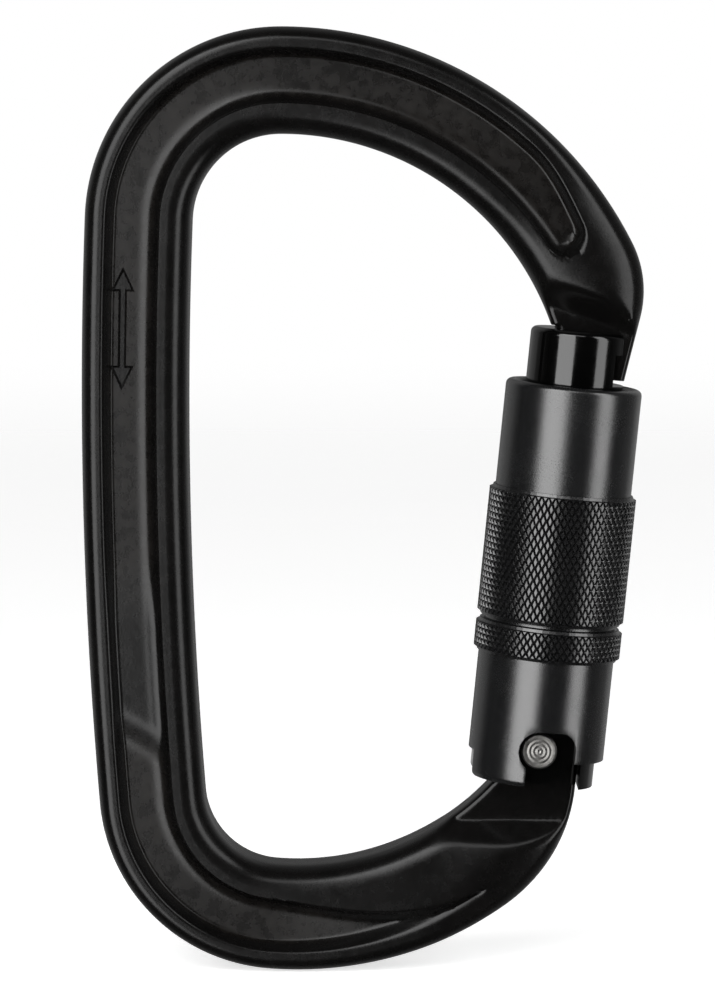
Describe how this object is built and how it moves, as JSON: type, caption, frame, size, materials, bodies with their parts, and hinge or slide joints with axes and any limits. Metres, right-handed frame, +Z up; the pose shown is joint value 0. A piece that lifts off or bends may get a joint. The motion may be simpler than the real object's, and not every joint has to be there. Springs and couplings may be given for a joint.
{
  "type": "locking carabiner",
  "caption": "D-shaped locking carabiner with pocketed forged body, hinged keylock gate, and knurled sleeve that lifts and twists.",
  "frame": {"origin": "inner top of the basket, where the rope sits, in the body's middle plane", "axes": "+Z up along the spine, +X towards the gate, -Y towards the face with the rivet slot"},
  "size_m": [0.0661, 0.0174, 0.1116],
  "materials": {
    "anodised_body": "matte black anodised forging",
    "anodised_barrel": "glossy black anodised",
    "anodised_sleeve": "satin dark anodised, knurled bands",
    "stainless": "turned stainless steel",
    "spring_steel": "drawn spring wire",
    "plunger_plastic": "acetal",
    "bush_plastic": "acetal"
  },
  "bodies": {
    "frame": {"body": "anodised_body"},
    "gate": {"gate_barrel": "anodised_barrel", "hinge_rivet": "stainless", "retaining_ring": "spring_steel", "gate_spring": "spring_steel", "sleeve_spring": "spring_steel"},
    "plunger": {"gate_plunger": "plunger_plastic"},
    "spring_seat": {"spring_washer": "stainless"},
    "sleeve": {"sleeve_grip": "anodised_sleeve", "sleeve_skirt": "anodised_sleeve", "guide_bush": "bush_plastic"}
  },
  "joints": [
    {"name": "gate_swing", "type": "hinge", "parent": "frame", "child": "gate", "pos_m": [0.02849, 0, -0.07223], "axis": [0, -1, 0], "range_deg": [0, 26], "stiffness_Nm_per_rad": 0.3, "springref_deg": -11.46},
    {"name": "plunger_slide", "type": "slide", "parent": "gate", "child": "plunger", "axis": [0.0987, 0, 0.9951], "range_m": [0, 0.00075], "deforming": ["gate_spring"]},
    {"name": "sleeve_lift", "type": "slide", "parent": "gate", "child": "spring_seat", "axis": [0.0987, 0, 0.9951], "range_m": [0, 0.0034], "stiffness_N_per_m": 800, "springref_m": -0.004, "deforming": ["sleeve_spring"]},
    {"name": "sleeve_turn", "type": "hinge", "parent": "spring_seat", "child": "sleeve", "pos_m": [0.02849, 0, -0.07223], "axis": [-0.0987, 0, -0.9951], "range_deg": [0, 102], "stiffness_Nm_per_rad": 0.02, "springref_deg": -28.65}
  ],
  "couplings": [
    {"joint": "plunger_slide", "follows": "gate_swing", "m_per_rad": 0.00165}
  ]
}
